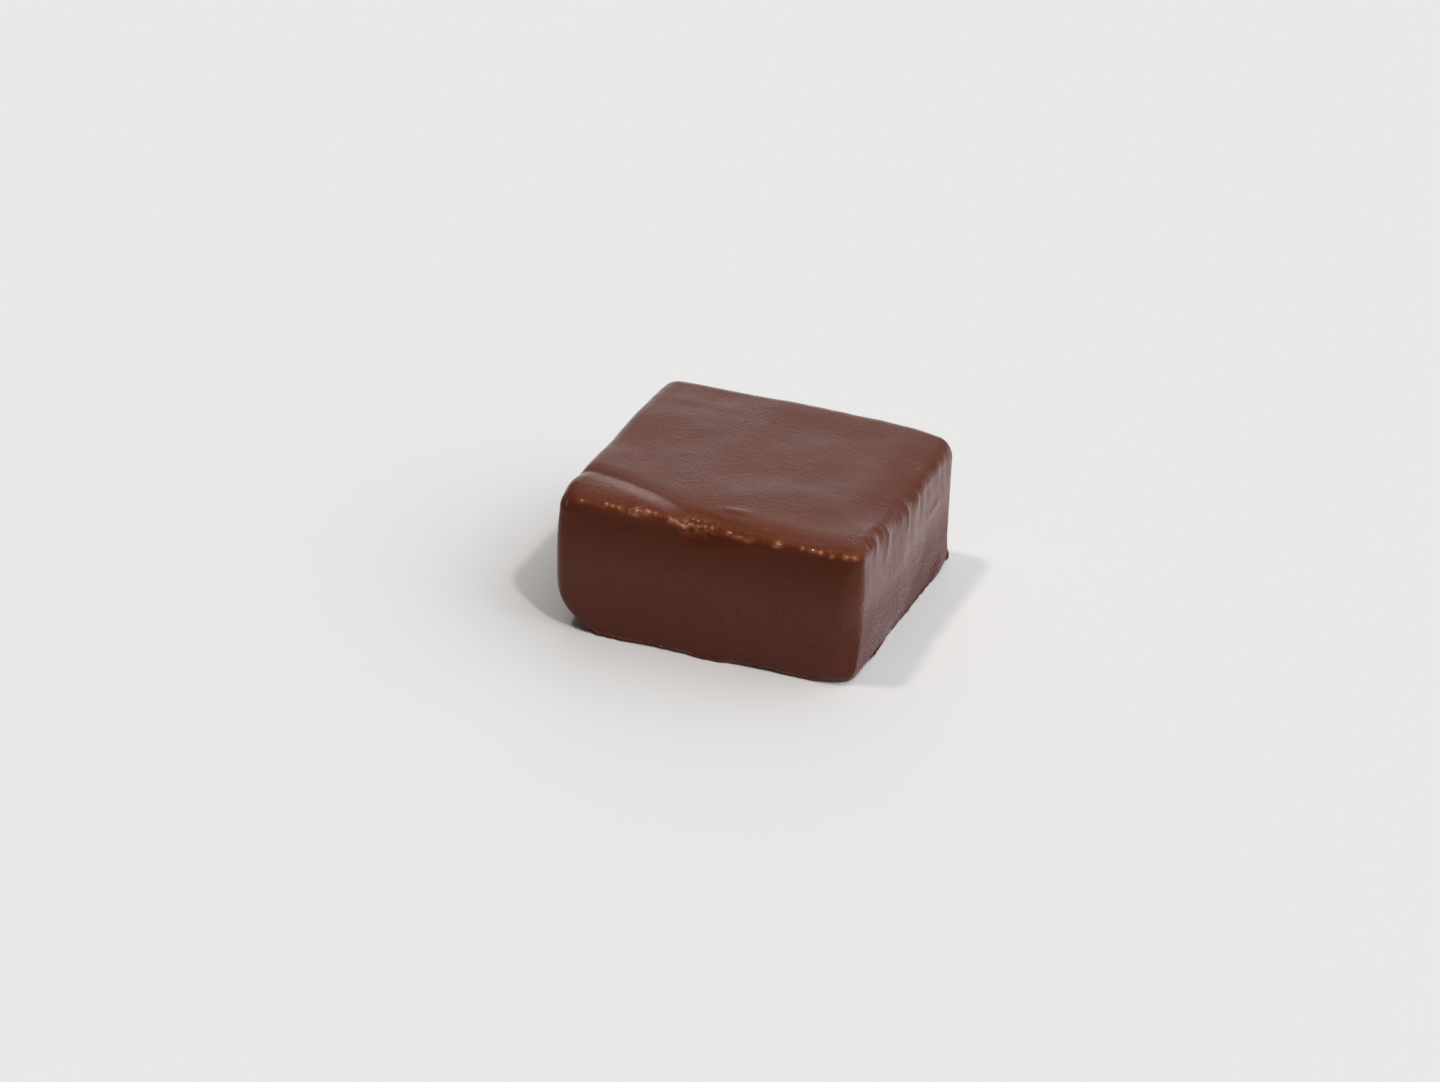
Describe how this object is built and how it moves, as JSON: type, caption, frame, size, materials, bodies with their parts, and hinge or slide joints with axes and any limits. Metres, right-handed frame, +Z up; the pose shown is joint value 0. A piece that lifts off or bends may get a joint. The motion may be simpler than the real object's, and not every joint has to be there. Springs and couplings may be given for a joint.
{
  "type": "chocolate-coated brownie bite",
  "caption": "Small squarish block of brownie under a satin chocolate coating, with soft edges, a fold across one front corner and a thin uneven foot.",
  "frame": {"origin": "middle of the bounding box's base, on the surface that the bite rests on", "axes": "+X along the front top edge, to the right as seen from the front; +Y from the front face, the one with the lip and the slumped edge, to the back; +Z up"},
  "size_m": [0.0328, 0.0334, 0.0153],
  "materials": {
    "chocolate_coating": "satin milk chocolate, set by dipping"
  },
  "bodies": {
    "root": {"brownie_bite": "chocolate_coating"}
  },
  "joints": []
}
